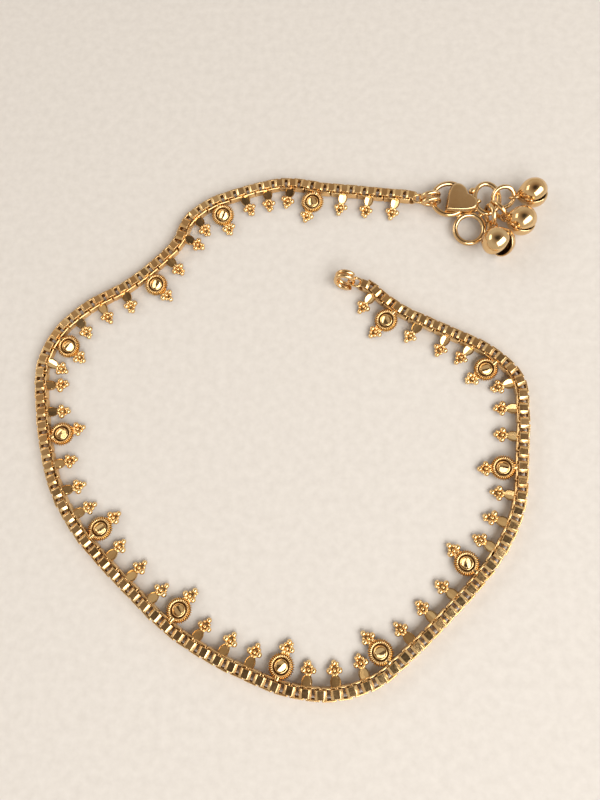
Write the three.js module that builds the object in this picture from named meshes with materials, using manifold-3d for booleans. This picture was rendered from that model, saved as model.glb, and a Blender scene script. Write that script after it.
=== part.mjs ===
// An ankle chain lying open on a flat surface, in millimetres, +Z up.
// A box chain runs round in an open loop. On its inner side hang small drops: thirteen round rosettes,
// and three leaf drops between each two of them. One end carries a double-turn ring, the other end a
// double-turn ring that holds a heart clasp, and three round bells hang from the clasp on rings.
import * as THREE from 'three';
import { mergeVertices } from 'three/addons/utils/BufferGeometryUtils.js';
import Module from 'manifold-3d';

// Chain
const CHAIN_WIDTH = 2.04;
const CHAIN_HEIGHT = 2.06;
const CHAIN_CORNER = 0.5;
const CHAIN_STEPS = 60;
const PITCH = 2.347;
const WINDOWS = 106;
const HOOK_OVERHANG = 1.25;
const CLASP_OVERHANG = 0.9;

// Middle line of the chain seen from above, from the hook end round to the clasp end
const ROUTE = [
  [11.9, 22.6], [13.5, 21.82], [15.2, 20.2], [18.7, 17.5], [25.0, 14.2], [31.4, 10.9], [35.0, 8.0],
  [37.1, 4.6], [37.2, -0.9], [36.5, -8.2], [35.4, -15.2], [32.4, -21.4], [28.0, -26.8], [23.1, -31.8],
  [18.0, -36.5], [12.6, -40.7], [5.9, -42.5], [-0.9, -41.8], [-7.5, -39.4], [-14.1, -36.3],
  [-19.8, -32.5], [-25.1, -27.8], [-30.4, -22.8], [-35.1, -17.6], [-38.7, -11.5], [-40.9, -4.7],
  [-42.2, 2.2], [-42.7, 9.3], [-40.0, 15.5], [-34.9, 20.0], [-28.7, 23.4], [-23.4, 27.8],
  [-20.2, 31.4], [-18.4, 35.6], [-14.5, 38.7], [-7.9, 41.0], [-1.2, 42.2], [5.9, 41.0],
  [13.0, 40.0], [20.0, 39.0], [21.2, 38.8],
];
const ROUTE_START = 1;
const ARC_DIVISIONS = 2000;

// Middle of the whole piece in the same plan, which becomes the origin
const MIDDLE = [0.22, -0.19];

// Drops: every other link of the chain carries one
const DROP_STEP = 2 * PITCH;
const CHAIN_GAP = 0.36;
const DROP_START = CHAIN_WIDTH / 2 + CHAIN_GAP;
const BAIL_HEIGHT = 1.02;
const TIP_HEIGHT = 0.48;
const DROP_THICKNESS = 0.8;

const ROSETTE_RADIUS = 1.98;
const ROSETTE_CENTRE = 3.25;
const ROSETTE_SIDES = 14;
const ROSETTE_TIP = 6.6;
const LEAF_TIP = 4.32;
const RAIL = 0.5;
const RAIL_STEPS = 6;

// Section of a rosette from its back to the knob in its middle: radius, height
const ROSETTE_PROFILE = [
  [0, -0.3], [ROSETTE_RADIUS - 0.25, -0.3], [ROSETTE_RADIUS, 0], [ROSETTE_RADIUS - 0.35, 0.42],
  [1.25, 0.12], [0.75, 0.2], [0, 0.5],
];

// Half outlines of the ball cluster under a rosette and of a whole leaf drop: way in from the chain's
// middle line, half width
const CLUSTER_OUTLINE = [
  [4.6, 0.6], [5.3, 0.6], [5.6, 1.1], [6.1, 1.2], [6.4, 0.7], [6.8, 0.5], [7.04, 0.2],
];
const LEAF_OUTLINE = [
  [DROP_START, 0.22], [1.7, 0.62], [2.2, 0.84], [2.75, 0.76], [3.0, 1.2], [3.45, 1.25], [3.75, 0.7],
  [4.3, 0.48], [4.75, 0.22],
];

// How far each drop leans off the square to the chain, in degrees: a rosette and its three leaves a row
const LEANS = [
  [-9, -14, -1, -17],
  [-12, -6, 0, -5],
  [8, 0, 2, -3],
  [-5, 6, 4, 4],
  [2, -5, -2, -1],
  [-2, 0, -9, -6],
  [0, -3, 3, 5],
  [0, -3, -8, -1],
  [6, -4, -4, -15],
  [-12, -7, -1, -5],
  [4, -1, -7, -7],
  [0, 12, -5, -11],
  [-11, -6, -9, -11],
];
const FIRST_LEAF_LEAN = 4;

// Double-turn rings at the ends and the small links that join them to the chain
const COIL_TURNS = 1.8;
const COIL_WIRE = 0.75;
const HOOK_RING = { centre: [9.15, 23.2, 1.85], along: [0.95, -0.3, 0], up: [0, 0.2, 0.97],
  wide: 1.48, high: 1.42, pitch: 0.85, gapAt: 0 };
const CLASP_RING = { centre: [24.2, 38.0, 1.8], along: [1, 0, 0], up: [0, 0, 1],
  wide: 1.55, high: 1.4, pitch: 1.2, gapAt: Math.PI };
const END_LINK = { wide: 1.05, high: 0.72, wire: 0.4 };
const HOOK_LINK = [10.88, 22.72, 1.85];
const CLASP_LINK = [22.46, 38.06, 1.8];

// Heart clasp: three wire rings soldered round a heart plate
const CLASP_WIRE = 0.88;
const CLASP_RINGS = [
  { centre: [27.55, 37.9, 1.6], tilt: [0, 0], wide: 2.9, high: 3.0 },
  { centre: [30.8, 32.4, 0.94], tilt: [0.2, 0], wide: 2.45, high: 2.45 },
  { centre: [33.95, 37.65, 1.75], tilt: [0, 0], wide: 2.08, high: 2.85 },
];
const HEART_TIP = [26.75, 35.45];
const HEART_AXIS = 37 * Math.PI / 180;
// Half outline of the heart from its tip to its cleft, as two curves: way along the heart, half width
const HEART_CURVES = [
  [[1.1, 0.95], [2.4, 2.35], [3.6, 2.75]],
  [[4.6, 3.05], [5.6, 1.6], [4.6, 0]],
];
const HEART_BOTTOM = 1.0;
const HEART_THICKNESS = 1.6;
// Solder drops: x, y, z, radius
const SOLDER = [
  [31.7, 39.2, 1.7, 0.5], [32.4, 36.9, 1.7, 0.62], [29.1, 34.95, 1.3, 0.55], [31.7, 35.6, 1.4, 0.5],
  [32.6, 34.5, 1.45, 0.5],
];

// Bells on their rings
const BELL_RING_WIRE = 0.78;
const BELL_RINGS = [
  { centre: [36.8, 37.8, 1.75], along: [1, 0, 0], up: [0, 1, 0.9], radius: 1.78 },
  { centre: [35.62, 35.08, 2.18], along: [0.66, -0.75, 0.05], up: [-0.1, -0.08, 0.99], radius: 1.76 },
  { centre: [34.2, 34.2, 2.12], along: [0.22, -0.97, 0], up: [0.08, 0, 1], radius: 1.72 },
];
const BELL_RADIUS = 2.45;
const BELL_WALL = 0.35;
const BELLS = [
  { centre: [41.8, 38.04, 2.46], slitNormal: [-0.52, 0.32, 0.72], slitWide: 1.2 },
  { centre: [39.54, 32.78, 2.46], slitNormal: [-0.1, 0.4, 0.9], slitWide: 1.2 },
  { centre: [34.95, 28.8, 2.46], slitNormal: [-0.68, 0.35, 0.64], slitWide: 2.6 },
];
const SLIT_NARROW = 0.3;
const BELL_BASE = 0.7;
const SHANK_RADIUS = 0.72;
const SHANK_WIRE = 0.42;
const SHANK_BITE = 0.15;
const SHELL_STEPS = [15, 10];
const HOLLOW_STEPS = [12, 7];

// Steps round a wire ring and sides of its wire: a large ring and a small one
const RING_STEPS = [22, 7];
const SMALL_RING_STEPS = [16, 6];

const GOLD = { color: 0xc8963c, metalness: 1, roughness: 0.22 };
const GOLD_DARK = { color: 0xb9822e, metalness: 1, roughness: 0.3 };

const wasm = await Module();
wasm.setup();

const UP = new THREE.Vector3(0, 0, 1);
const vector = (p) => new THREE.Vector3(...p);

// A closed geometry becomes a solid that can be joined and cut
function solid(geometry, matrix = new THREE.Matrix4()) {
  const bare = geometry.clone().applyMatrix4(matrix);
  bare.deleteAttribute('normal');
  bare.deleteAttribute('uv');
  const merged = mergeVertices(bare, 1e-4);
  const mesh = new wasm.Mesh({
    numProp: 3,
    vertProperties: new Float32Array(merged.attributes.position.array),
    triVerts: new Uint32Array(merged.index.array),
  });
  return new wasm.Manifold(mesh);
}

function geometryOf(manifold) {
  const mesh = manifold.getMesh();
  const geometry = new THREE.BufferGeometry();
  geometry.setAttribute('position', new THREE.BufferAttribute(new Float32Array(mesh.vertProperties), 3));
  geometry.setIndex(new THREE.BufferAttribute(new Uint32Array(mesh.triVerts), 1));
  geometry.computeVertexNormals();
  return geometry;
}

function joined(solids) {
  return solids.reduce((sum, next) => sum.add(next));
}

// Matrix whose axes are three directions and whose origin is a point
function placed(x, y, z, origin) {
  return new THREE.Matrix4().makeBasis(x, y, z).setPosition(origin);
}

// Matrix of a flat ring from the direction along it and the direction up it
function ringPlace({ centre, along, up }) {
  const x = vector(along).normalize();
  const z = x.clone().cross(vector(up)).normalize();
  const y = z.clone().cross(x);
  return placed(x, y, z, vector(centre));
}

function circle(radius, sides) {
  const shape = new THREE.Shape();
  for (let i = 0; i < sides; i += 1) {
    const angle = (i + 0.5) * 2 * Math.PI / sides;
    const point = [radius * Math.cos(angle), radius * Math.sin(angle)];
    if (i === 0) shape.moveTo(...point);
    else shape.lineTo(...point);
  }
  shape.closePath();
  return shape;
}

// A closed wire ring, round or oval, in its own XY plane
function wireRing(wide, high, wire, [steps, sides]) {
  const mean = (wide + high) / 2;
  const geometry = new THREE.TorusGeometry(mean, wire / 2, sides, steps);
  const position = geometry.attributes.position;
  for (let i = 0; i < position.count; i += 1) {
    const angle = Math.atan2(position.getY(i), position.getX(i));
    position.setX(i, position.getX(i) + (wide - mean) * Math.cos(angle));
    position.setY(i, position.getY(i) + (high - mean) * Math.sin(angle));
  }
  return geometry;
}

// Middle line of a wire wound in a flat coil
class CoilCurve extends THREE.Curve {
  constructor({ wide, high, pitch, gapAt }) {
    super();
    Object.assign(this, { wide, high, pitch, gapAt });
  }

  getPoint(t, target = new THREE.Vector3()) {
    const spare = (2 - COIL_TURNS) * Math.PI;
    const angle = this.gapAt + spare + t * COIL_TURNS * 2 * Math.PI;
    const side = (t - 0.5) * COIL_TURNS * this.pitch;
    return target.set(this.wide * Math.cos(angle), this.high * Math.sin(angle), side);
  }
}

function coil(ring) {
  const geometry = new THREE.ExtrudeGeometry(circle(COIL_WIRE / 2, 8), {
    extrudePath: new CoilCurve(ring),
    steps: 30,
  });
  return geometryOf(solid(geometry, ringPlace(ring)));
}

// Chain

const chainLine = new THREE.CatmullRomCurve3(
  ROUTE.map(([x, y]) => new THREE.Vector3(x, y, CHAIN_HEIGHT / 2)), false, 'centripetal');
chainLine.arcLengthDivisions = ARC_DIVISIONS;

function lengthAtRoutePoint(index) {
  const fraction = index / (ROUTE.length - 1);
  return chainLine.getLengths(ARC_DIVISIONS)[Math.round(fraction * ARC_DIVISIONS)];
}

// Arc length of the first window of the chain; window i lies PITCH times i further on
const firstWindow = lengthAtRoutePoint(ROUTE_START);
const chainLength = chainLine.getLength();

function chainPoint(arc) {
  return chainLine.getPointAt(arc / chainLength);
}

function chainTangent(arc) {
  return chainLine.getTangentAt(arc / chainLength);
}

class ChainStretch extends THREE.Curve {
  constructor(from, to) {
    super();
    this.from = from;
    this.to = to;
  }

  getPoint(t, target = new THREE.Vector3()) {
    return target.copy(chainPoint(this.from + t * (this.to - this.from)));
  }
}

function chainSection() {
  const halfHeight = CHAIN_HEIGHT / 2;
  const halfWidth = CHAIN_WIDTH / 2;
  const shape = new THREE.Shape();
  shape.moveTo(halfHeight, halfWidth - CHAIN_CORNER);
  shape.lineTo(halfHeight - CHAIN_CORNER, halfWidth);
  shape.lineTo(CHAIN_CORNER - halfHeight, halfWidth);
  shape.lineTo(-halfHeight, halfWidth - CHAIN_CORNER);
  shape.lineTo(-halfHeight, CHAIN_CORNER - halfWidth);
  shape.lineTo(CHAIN_CORNER - halfHeight, -halfWidth);
  shape.lineTo(halfHeight - CHAIN_CORNER, -halfWidth);
  shape.lineTo(halfHeight, CHAIN_CORNER - halfWidth);
  shape.closePath();
  return shape;
}

function chain() {
  const from = firstWindow - HOOK_OVERHANG;
  const to = firstWindow + (WINDOWS - 1) * PITCH + CLASP_OVERHANG;
  return new THREE.ExtrudeGeometry(chainSection(), {
    extrudePath: new ChainStretch(from, to),
    steps: CHAIN_STEPS,
  });
}

// Drops

// Place of drop j: its own X runs inwards from the chain and slopes down to the surface
function dropPlace(j, lean, tip) {
  const arc = firstWindow + PITCH / 2 + j * DROP_STEP;
  const inward = chainTangent(arc).cross(UP).applyAxisAngle(UP, lean * Math.PI / 180);
  const slope = Math.atan2(BAIL_HEIGHT - TIP_HEIGHT, tip - DROP_START);
  const across = UP.clone().cross(inward);
  const along = inward.clone().applyAxisAngle(across, slope);
  const origin = chainPoint(arc).setZ(TIP_HEIGHT).addScaledVector(inward, tip);
  origin.addScaledVector(along, -tip);
  return placed(along, across, along.clone().cross(across), origin);
}

// A flat piece with mirrored sides, from its half outline
function plate(halfOutline) {
  const shape = new THREE.Shape();
  halfOutline.forEach(([x, y], i) => (i === 0 ? shape.moveTo(x, y) : shape.lineTo(x, y)));
  halfOutline.slice().reverse().forEach(([x, y]) => shape.lineTo(x, -y));
  shape.closePath();
  const geometry = new THREE.ExtrudeGeometry(shape, { depth: DROP_THICKNESS, bevelEnabled: false });
  return geometry.translate(0, 0, -DROP_THICKNESS / 2);
}

function rosetteDrop(j, lean) {
  const place = dropPlace(j, lean, ROSETTE_TIP);
  const profile = ROSETTE_PROFILE.map(([x, y]) => new THREE.Vector2(x, y));
  const disc = new THREE.LatheGeometry(profile, ROSETTE_SIDES).rotateX(Math.PI / 2);
  disc.translate(ROSETTE_CENTRE, 0, 0);
  return geometryOf(solid(disc, place).add(solid(plate(CLUSTER_OUTLINE), place)));
}

function leafDrop(j, lean) {
  return solid(plate(LEAF_OUTLINE), dropPlace(j, lean, LEAF_TIP));
}

// Slim rail beside the chain that holds a group of leaf drops in one solid
function rail(from, to) {
  const offset = DROP_START + RAIL / 2;
  const points = [];
  for (let k = 0; k <= RAIL_STEPS; k += 1) {
    const arc = firstWindow + PITCH / 2 + (from + (to - from) * k / RAIL_STEPS) * DROP_STEP;
    const inward = chainTangent(arc).cross(UP);
    points.push(chainPoint(arc).setZ(BAIL_HEIGHT).addScaledVector(inward, offset));
  }
  const section = new THREE.Shape();
  section.moveTo(-RAIL / 2, -RAIL / 2);
  section.lineTo(RAIL / 2, -RAIL / 2);
  section.lineTo(RAIL / 2, RAIL / 2);
  section.lineTo(-RAIL / 2, RAIL / 2);
  section.closePath();
  return solid(new THREE.ExtrudeGeometry(section, {
    extrudePath: new THREE.CatmullRomCurve3(points),
    steps: RAIL_STEPS + 1,
  }));
}

function leafGroup(first, leans) {
  const drops = leans.map((lean, k) => leafDrop(first + k, lean));
  const rails = leans.length > 1 ? [rail(first, first + leans.length - 1)] : [];
  return geometryOf(joined([...drops, ...rails]));
}

// Clasp

// A small closed link that joins the end of the chain to a coil
function endLink(centre, towards) {
  const along = vector(towards).sub(vector(centre)).setZ(0).normalize();
  const place = ringPlace({ centre, along: along.toArray(), up: UP.clone().cross(along).toArray() });
  return geometryOf(solid(wireRing(END_LINK.wide, END_LINK.high, END_LINK.wire, SMALL_RING_STEPS), place));
}

function heartShape() {
  const [side, lobe] = HEART_CURVES;
  const mirrored = ([x, y]) => [x, -y];
  const shape = new THREE.Shape();
  shape.moveTo(0, 0);
  shape.bezierCurveTo(...side.flat());
  shape.bezierCurveTo(...lobe.flat());
  shape.bezierCurveTo(...[lobe[1], lobe[0], side[2]].flatMap(mirrored));
  shape.bezierCurveTo(...[side[1], side[0], [0, 0]].flatMap(mirrored));
  return shape;
}

function heartClasp() {
  const rings = CLASP_RINGS.map(({ centre, tilt, wide, high }) => {
    const turn = new THREE.Euler(tilt[0], tilt[1], 0);
    const place = new THREE.Matrix4().makeRotationFromEuler(turn).setPosition(vector(centre));
    return solid(wireRing(wide, high, CLASP_WIRE, RING_STEPS), place);
  });
  const plate = new THREE.ExtrudeGeometry(heartShape(), {
    depth: HEART_THICKNESS,
    bevelEnabled: false,
    curveSegments: 5,
  });
  const place = new THREE.Matrix4().makeRotationZ(HEART_AXIS);
  place.setPosition(HEART_TIP[0], HEART_TIP[1], HEART_BOTTOM);
  const blobs = SOLDER.map(([x, y, z, radius]) =>
    solid(new THREE.IcosahedronGeometry(radius).translate(x, y, z)));
  return geometryOf(joined([...rings, solid(plate, place), ...blobs]));
}

// Bells

function bellRing(ring) {
  const geometry = wireRing(ring.radius, ring.radius, BELL_RING_WIRE, RING_STEPS);
  return geometryOf(solid(geometry, ringPlace(ring)));
}

function ringEnd(ring) {
  return vector(ring.centre).addScaledVector(vector(ring.along).normalize(), ring.radius);
}

// A hollow round bell cut open by a slit that widens away from its shank
function bell({ centre, slitNormal, slitWide }, ring) {
  const shankAt = ringEnd(ring);
  const axis = vector(centre).sub(shankAt).normalize();
  const normal = vector(slitNormal);
  normal.addScaledVector(axis, -normal.dot(axis)).normalize();
  const side = normal.clone().cross(axis);
  const place = placed(axis, side, axis.clone().cross(side), vector(centre));
  const inner = BELL_RADIUS - BELL_WALL;
  const shell = solid(new THREE.SphereGeometry(BELL_RADIUS, ...SHELL_STEPS))
    .subtract(solid(new THREE.SphereGeometry(inner, ...HOLLOW_STEPS)));
  const from = BELL_BASE - BELL_RADIUS;
  const slit = new THREE.Shape();
  slit.moveTo(from, -SLIT_NARROW / 2);
  slit.lineTo(BELL_RADIUS + 1, -slitWide / 2);
  slit.lineTo(BELL_RADIUS + 1, slitWide / 2);
  slit.lineTo(from, SLIT_NARROW / 2);
  slit.closePath();
  const cutter = new THREE.ExtrudeGeometry(slit, { depth: 4 * BELL_RADIUS, bevelEnabled: false });
  cutter.translate(0, 0, -2 * BELL_RADIUS).rotateX(Math.PI / 2);
  const opened = shell.subtract(solid(cutter)).transform(place.toArray());
  const wireAlong = vector(ring.along).normalize();
  const wireUp = vector(ring.up).addScaledVector(wireAlong, -vector(ring.up).dot(wireAlong)).normalize();
  const reach = vector(centre).distanceTo(shankAt) - BELL_RADIUS;
  const long = (reach + SHANK_RADIUS + SHANK_BITE) / 2;
  const middle = shankAt.clone().addScaledVector(axis, long - SHANK_RADIUS);
  const loopPlace = placed(axis, wireUp.clone().cross(axis).normalize(), wireUp, middle);
  const wire = wireRing(Math.max(long, SHANK_RADIUS), SHANK_RADIUS, SHANK_WIRE, SMALL_RING_STEPS);
  const loop = solid(wire, loopPlace);
  const hollow = solid(new THREE.SphereGeometry(inner, ...HOLLOW_STEPS), place);
  return geometryOf(opened.add(loop.subtract(hollow)));
}

// Assembly

const anklet = new THREE.Group();
anklet.position.set(-MIDDLE[0], -MIDDLE[1], 0);

function addNode(name, geometry, finish = GOLD) {
  const mesh = new THREE.Mesh(geometry, new THREE.MeshStandardMaterial(finish));
  mesh.name = name;
  anklet.add(mesh);
}

const numbered = (name, i) => `${name}_${String(i).padStart(2, '0')}`;

addNode('chain', chain(), GOLD_DARK);
addNode('leaf_drops_01', leafGroup(0, [FIRST_LEAF_LEAN]));
LEANS.forEach(([rosette, ...leaves], row) => {
  const j = 1 + 4 * row;
  addNode(numbered('rosette_drop', row + 1), rosetteDrop(j, rosette));
  addNode(numbered('leaf_drops', row + 2), leafGroup(j + 1, leaves));
});
addNode('hook_ring', coil(HOOK_RING));
addNode('chain_end_hook', endLink(HOOK_LINK, HOOK_RING.centre), GOLD_DARK);
addNode('clasp_ring', coil(CLASP_RING));
addNode('chain_end_clasp', endLink(CLASP_LINK, CLASP_RING.centre), GOLD_DARK);
addNode('heart_clasp', heartClasp());
BELLS.forEach((shape, i) => {
  addNode(`bell_ring_${i + 1}`, bellRing(BELL_RINGS[i]));
  addNode(`bell_${i + 1}`, bell(shape, BELL_RINGS[i]));
});

export default anklet;
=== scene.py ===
import math

import bpy
import numpy as np
from mathutils import Matrix, Vector


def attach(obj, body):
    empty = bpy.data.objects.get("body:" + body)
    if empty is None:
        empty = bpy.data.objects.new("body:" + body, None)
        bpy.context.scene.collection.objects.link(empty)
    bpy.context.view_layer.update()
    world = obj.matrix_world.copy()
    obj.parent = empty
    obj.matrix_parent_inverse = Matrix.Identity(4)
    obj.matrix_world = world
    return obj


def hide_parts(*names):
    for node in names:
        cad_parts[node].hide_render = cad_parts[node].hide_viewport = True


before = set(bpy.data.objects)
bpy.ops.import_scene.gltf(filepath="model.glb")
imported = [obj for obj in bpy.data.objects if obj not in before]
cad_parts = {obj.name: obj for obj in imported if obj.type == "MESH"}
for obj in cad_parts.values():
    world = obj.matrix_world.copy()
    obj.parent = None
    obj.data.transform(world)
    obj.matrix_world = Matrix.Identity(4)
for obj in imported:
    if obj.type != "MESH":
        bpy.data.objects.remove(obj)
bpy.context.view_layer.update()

# Lengths are millimetres in the plan of the anklet unless metres are named, and MIDDLE is where the
# frame's origin lies in that plan. A tone is painted shade: 0 on polished metal and 1 where a recess,
# an underside or an inner face is painted dark as shade.
MM = 0.001
MIDDLE = np.array([0.22, -0.19, 0.0])
X, Y, Z = np.eye(3)

# Seeds of the random draws; a drop's or a solder drop's number is added to its seed
CHAIN_SEED = 7
LEAF_SEED = 100
ROSETTE_SEED = 300
SOLDER_SEED = 500

# Chain: points of its middle line; the first window lies at point number ROUTE_START
ROUTE = [
    (11.9, 22.6), (13.5, 21.82), (15.2, 20.2), (18.7, 17.5), (25.0, 14.2), (31.4, 10.9), (35.0, 8.0),
    (37.1, 4.6), (37.2, -0.9), (36.5, -8.2), (35.4, -15.2), (32.4, -21.4), (28.0, -26.8), (23.1, -31.8),
    (18.0, -36.5), (12.6, -40.7), (5.9, -42.5), (-0.9, -41.8), (-7.5, -39.4), (-14.1, -36.3),
    (-19.8, -32.5), (-25.1, -27.8), (-30.4, -22.8), (-35.1, -17.6), (-38.7, -11.5), (-40.9, -4.7),
    (-42.2, 2.2), (-42.7, 9.3), (-40.0, 15.5), (-34.9, 20.0), (-28.7, 23.4), (-23.4, 27.8),
    (-20.2, 31.4), (-18.4, 35.6), (-14.5, 38.7), (-7.9, 41.0), (-1.2, 42.2), (5.9, 41.0),
    (13.0, 40.0), (20.0, 39.0), (21.2, 38.8),
]
ROUTE_START = 1
SPLINE_STEPS = 2000
TANGENT_REACH = 0.3
PITCH = 2.347
WINDOWS = 106
CHAIN_MIDDLE = 1.03
STRIP_THICKNESS = 0.33
# Corners of a quarter of a link's outline: way along the chain, way across it
FLAT_LINK = dict(width=1.3, corners=[(0.98, 1.02), (1.11, 0.88)], bend=0.24, edge=0.15)
UPRIGHT_LINK = dict(width=1.36, corners=[(0.50, 1.03), (0.93, 0.74)], bend=0.12, edge=0.05)
# Painted shade on a strip's inner face: its tone, which begins this far in from its middle and fades in
INSIDE_SHADE = 0.55
INSIDE_FROM = 0.1
INSIDE_FADE = 0.05
# Spread of the links' turns in degrees, the nod's share of it, and the spread of their shifts
LINK_SWAY = 2.2
NOD_SHARE = 0.6
LINK_SHIFT = 0.02

# Drops: the leans in degrees of each row's rosette and three leaves
LEANS = [
    (-9, -14, -1, -17), (-12, -6, 0, -5), (8, 0, 2, -3), (-5, 6, 4, 4), (2, -5, -2, -1), (-2, 0, -9, -6),
    (0, -3, 3, 5), (0, -3, -8, -1), (6, -4, -4, -15), (-12, -7, -1, -5), (4, -1, -7, -7), (0, 12, -5, -11),
    (-11, -6, -9, -11),
]
FIRST_LEAF_LEAN = 4
# Ways from the chain's middle line and heights; ROSETTE_TIP gives a rosette's slope, ROSETTE_END is
# where its last ball lies
DROP_ROOT = 0.58
ROOT_HEIGHT = 1.5
TIP_HEIGHT = 0.47
LEAF_TIP = 4.3
ROSETTE_TIP = 6.8
ROSETTE_END = 6.5
# How far below a ball's clear height its painted shade is full
BALL_SHADE = 0.26

# Cluster at a drop's end: sizes of its balls, and their ways along the drop and off its middle line.
# A ball's SIZES are the least and the greatest share of its size, and spreads are of random shifts
CLUSTER_LEAN_SPREAD = 0.07
TIP_SPREAD = 0.04
SIDE_SPREAD = 0.05
SIDE_BALL = 0.47
SIDE_SIZES = (0.92, 1.08)
SIDE_OFF = 0.76
NECK_BALL = (0.24, 0.22, 0.22)
NECK_BACK = 0.44
NECK_OFF = 0.36
SMALL_BALL = 0.27
SMALL_SIZES = (0.75, 1.15)
SMALL_SHARE = 0.56
SMALL_OFF = 0.46
MIDDLE_BALL = (0.33, 0.3, 0.3)
TIP_BALL = (0.44, 0.43, 0.43)
SPARE_BALL = (0.25, 0.25, 0.26)
SPARE_OFF = 0.52
SPARE_CHANCE = 0.45
# The backing lies under and between the balls; its even tone is painted shade
BACKING_LOW = -0.40
BACKING_HIGH = -0.08
BACKING_BEVEL = 0.08
BACKING_SHADE = 0.55

# Leaves
LEAF_MIDDLE = 1.66
LEAF_HALF_LENGTH = 1.07
LEAF_HALF_WIDTH = 0.84
LEAF_TAPER = 0.10
LEAF_CLUSTER = dict(start=2.75, side_x=3.2, tip_x=LEAF_TIP)
# From the back over the rim to the facets: shares of the outline's length and width, height, tone; the
# tone paints shade on the back and in the groove inside the rim
LEAF_RIM = [
    (0.86, 0.86, -0.36, 0.8), (1.0, 1.0, -0.24, 0.6), (1.0, 1.0, -0.02, 0.1), (0.99, 0.985, 0.10, 0),
    (0.955, 0.935, 0.165, 0), (0.91, 0.87, 0.16, 0), (0.88, 0.82, 0.08, 0.5), (0.865, 0.795, 0.0, 0.9),
]
# Rings across the facets: shares of the outline's length and width, tone, which paints a little shade at
# their edge
LEAF_FACETS = [(0.85, 0.77, 0.1), (0.56, 0.50, 0), (0.28, 0.25, 0)]
FACET_HEIGHT = 0.05
FACET_CREASE = 0.45
# Where the plan's right and top parts begin, in which the leaves are tilted and dished otherwise
RIGHT_PART = 8
TOP_PART = 20
NEAR_TILTS = (-0.04, 0.14)
FAR_TILTS = (-0.24, 0.02)
SIDE_TILT_SPREAD = 0.05
DISHED_RIDGES = (-0.42, -0.32)
PLAIN_RIDGE = 0.02
DISHED_CHANCE_RIGHT = 0.8
DISHED_CHANCE = 0.15
# Small balls beside a leaf's root and at its end: way along the drop, way off its middle line, size
LEAF_ROOT_BALL = (0.72, 0.46, (0.22, 0.2, 0.2))
LEAF_END_BALL = (2.66, 0.2, (0.24, 0.2, 0.2))

# Rosettes
ROSETTE_CENTRE = 2.88
ROSETTE_CLUSTER = dict(start=4.95, side_x=5.45, tip_x=ROSETTE_END)
ROPE_RIDGES = 34
POINTS_PER_RIDGE = 6
RIDGE_DEPTH = 0.28
RIDGE_HEIGHT = 0.13
RIDGE_BASE = 0.7
VALLEY_FADE = 2.4
# From the back over the rim to the middle: radius, height, share of the ridges, tone; the tone paints
# shade on the back and in the grooves
ROSETTE_SECTION = [
    (1.40, -0.34, 0, 0.9), (1.68, -0.33, 0.3, 0.9), (1.90, -0.26, 0.9, 0.6), (1.99, -0.14, 1, 0.2),
    (1.98, 0.0, 1, 0), (1.90, 0.12, 1, 0), (1.79, 0.21, 1, 0), (1.68, 0.29, 1, 0), (1.57, 0.34, 0.85, 0),
    (1.46, 0.35, 0.7, 0), (1.36, 0.31, 0.4, 0), (1.28, 0.20, 0.1, 0.3), (1.22, 0.05, 0, 0.9),
    (1.15, -0.05, 0, 1), (1.08, -0.03, 0, 1), (1.03, 0.08, 0, 0.4), (0.98, 0.15, 0, 0), (0.92, 0.17, 0, 0),
    (0.87, 0.13, 0, 0.3), (0.83, 0.06, 0, 0.9), (0.78, 0.12, 0, 0.3), (0.72, 0.2, 0, 0), (0.62, 0.27, 0, 0),
    (0.46, 0.33, 0, 0), (0.3, 0.37, 0, 0), (0.14, 0.39, 0, 0),
]
# The knob's flat top, and the slope of its two cuts, the ways at which they start and their turn apart
KNOB_RADIUS = 0.8
KNOB_TOP = 0.22
CUT_SLOPE = 0.42
CUT_STARTS = (0.0, 0.25)
CUT_TURN = 0.9 * math.pi
KNOB_TILT_SPREAD = 0.07
ROSETTE_NOD_SPREAD = 0.035
# Middles of the short strands between disc and cluster, and their size
STRANDS = [(4.87, -0.5), (4.95, -0.17), (4.95, 0.17), (4.87, 0.5)]
STRAND = (0.36, 0.13, 0.18)
# The strap's way out from the chain's middle line and its height, then its section, its shade as for
# solder, and the balls beside it
STRAP_PATH = [(0.5, -0.5), (0.5, -0.14), (0.62, 0.12), (0.9, 0.25), (1.2, 0.3), (1.4, 0.3), (1.55, 0.24)]
STRAP_SECTION = [
    (0.1, 0.16), (0.05, 0.24), (-0.05, 0.24), (-0.1, 0.16), (-0.1, -0.16), (-0.05, -0.24), (0.05, -0.24),
    (0.1, -0.16),
]
STRAP_SHADE = (0.1, -0.3)
STRAP_BALL = (1.2, 0.34, (0.2, 0.16, 0.18))

# Rings and clasp
COIL_TURNS = 1.8
COIL_WIRE = 0.75
HOOK_RING = dict(centre=(9.15, 23.2, 1.85), along=(0.95, -0.3, 0), up=(0, 0.2, 0.97),
                 wide=1.48, high=1.42, pitch=0.85, gap_at=0.0)
CLASP_RING = dict(centre=(24.2, 38.0, 1.8), along=(1, 0, 0), up=(0, 0, 1),
                  wide=1.55, high=1.4, pitch=1.2, gap_at=math.pi)
END_LINK_WIRE = 0.42
END_SOLDER = (0.34, 0.27, 0.27)
HOOK_LINK = dict(centre=(10.98, 22.74, 1.85), wide=1.2, high=0.72)
CLASP_LINK = dict(centre=(22.4, 38.08, 1.8), wide=1.12, high=0.72)
CLASP_WIRE = 0.88
CLASP_RINGS = [
    dict(centre=(27.55, 37.9, 1.6), tilt=0.0, wide=2.9, high=3.0),
    dict(centre=(30.8, 32.4, 0.94), tilt=0.2, wide=2.45, high=2.45),
    dict(centre=(33.95, 37.65, 1.75), tilt=0.0, wide=2.08, high=2.85),
]
HEART_TIP = (26.75, 35.45)
HEART_AXIS = math.radians(37)
HEART_CURVES = [
    ((0, 0), (1.1, 0.95), (2.4, 2.35), (3.6, 2.75)),
    ((3.6, 2.75), (4.6, 3.05), (5.6, 1.6), (4.6, 0)),
]
HEART_SCALE = (1.08, 1.07)
HEART_MIDDLE = (3.0, 0)
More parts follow.
